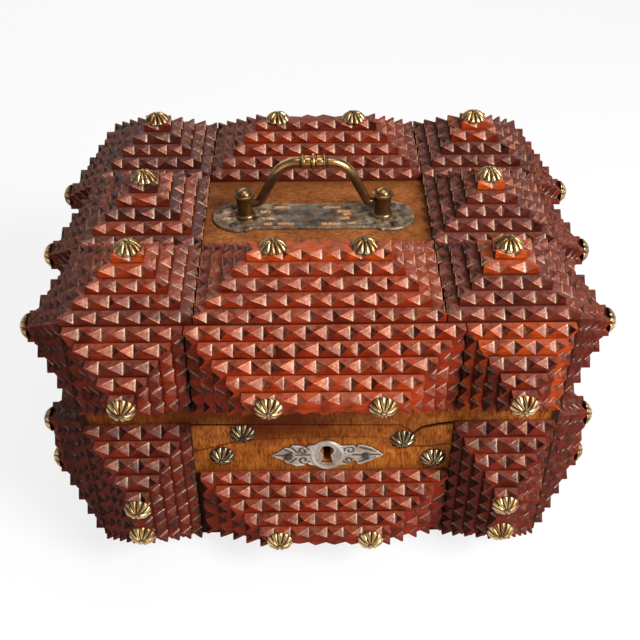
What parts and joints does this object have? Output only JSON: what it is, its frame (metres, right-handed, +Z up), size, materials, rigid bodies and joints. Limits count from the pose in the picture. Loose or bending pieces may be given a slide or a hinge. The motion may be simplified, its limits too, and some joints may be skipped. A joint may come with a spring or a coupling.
{
  "type": "tramp art box",
  "caption": "Lidded casket covered with stepped stacks of notched boards pinned by fluted studs, with a bail handle on the lid and a keyhole plate on the front.",
  "frame": {"origin": "on the floor under the middle of the box", "axes": "+X along the width, the front with the keyhole towards -Y, +Z up"},
  "size_m": [0.2866, 0.2376, 0.1824],
  "materials": {
    "carved_mahogany": "varnished",
    "box_wood": "satin",
    "stud_brass": "worn",
    "escutcheon_pewter": "worn",
    "handle_brass": "worn",
    "handle_plate_bronze": "worn",
    "iron": "matte",
    "fitting_brass": "satin"
  },
  "bodies": {
    "base": {"base_bottom": "box_wood", "base_front_board": "box_wood", "base_back_board": "box_wood", "base_left_board": "box_wood", "base_right_board": "box_wood", "base_front_left_stack": "carved_mahogany", "base_front_centre_stack": "carved_mahogany", "base_front_right_stack": "carved_mahogany", "base_left_front_stack": "carved_mahogany", "base_left_middle_stack": "carved_mahogany", "base_left_rear_stack": "carved_mahogany", "base_right_front_stack": "carved_mahogany", "base_right_middle_stack": "carved_mahogany", "base_right_rear_stack": "carved_mahogany", "base_back_left_stack": "carved_mahogany", "base_back_centre_stack": "carved_mahogany", "base_back_right_stack": "carved_mahogany", "base_studs": "stud_brass", "rail_studs": "stud_brass", "escutcheon": "escutcheon_pewter", "escutcheon_nails": "iron", "lock_case": "iron", "base_screws": "fitting_brass", "hinge_base_leaves": "fitting_brass", "hinge_pins": "iron"},
    "lid": {"lock_staple": "iron", "lid_screws": "fitting_brass", "hinge_lid_leaves": "fitting_brass", "lid_panel": "box_wood", "lid_front_board": "box_wood", "lid_back_board": "box_wood", "lid_left_board": "box_wood", "lid_right_board": "box_wood", "lid_top_front_left_stack": "carved_mahogany", "lid_top_front_centre_stack": "carved_mahogany", "lid_top_front_right_stack": "carved_mahogany", "lid_top_middle_left_stack": "carved_mahogany", "lid_top_middle_right_stack": "carved_mahogany", "lid_top_back_left_stack": "carved_mahogany", "lid_top_back_centre_stack": "carved_mahogany", "lid_top_back_right_stack": "carved_mahogany", "lid_front_left_stack": "carved_mahogany", "lid_front_centre_stack": "carved_mahogany", "lid_front_right_stack": "carved_mahogany", "lid_left_front_stack": "carved_mahogany", "lid_left_middle_stack": "carved_mahogany", "lid_left_rear_stack": "carved_mahogany", "lid_right_front_stack": "carved_mahogany", "lid_right_middle_stack": "carved_mahogany", "lid_right_rear_stack": "carved_mahogany", "lid_back_left_stack": "carved_mahogany", "lid_back_centre_stack": "carved_mahogany", "lid_back_right_stack": "carved_mahogany", "lid_studs": "stud_brass", "handle_plate": "handle_plate_bronze", "handle_posts": "handle_brass", "handle_pins": "handle_plate_bronze"},
    "bail": {"handle_bail": "handle_brass"},
    "bolt": {"lock_bolt": "fitting_brass"}
  },
  "joints": [
    {"name": "lid_hinge", "type": "hinge", "parent": "base", "child": "lid", "pos_m": [0, 0.0903, 0.09535], "axis": [-1, 0, 0], "range_deg": [0, 95]},
    {"name": "bail_swing", "type": "hinge", "parent": "lid", "child": "bail", "pos_m": [-0.0018, -0.004, 0.1549], "axis": [-1, 0, 0], "range_deg": [-85, 97]},
    {"name": "bolt_slide", "type": "slide", "parent": "base", "child": "bolt", "axis": [1, 0, 0], "range_m": [0, 0.006]}
  ]
}
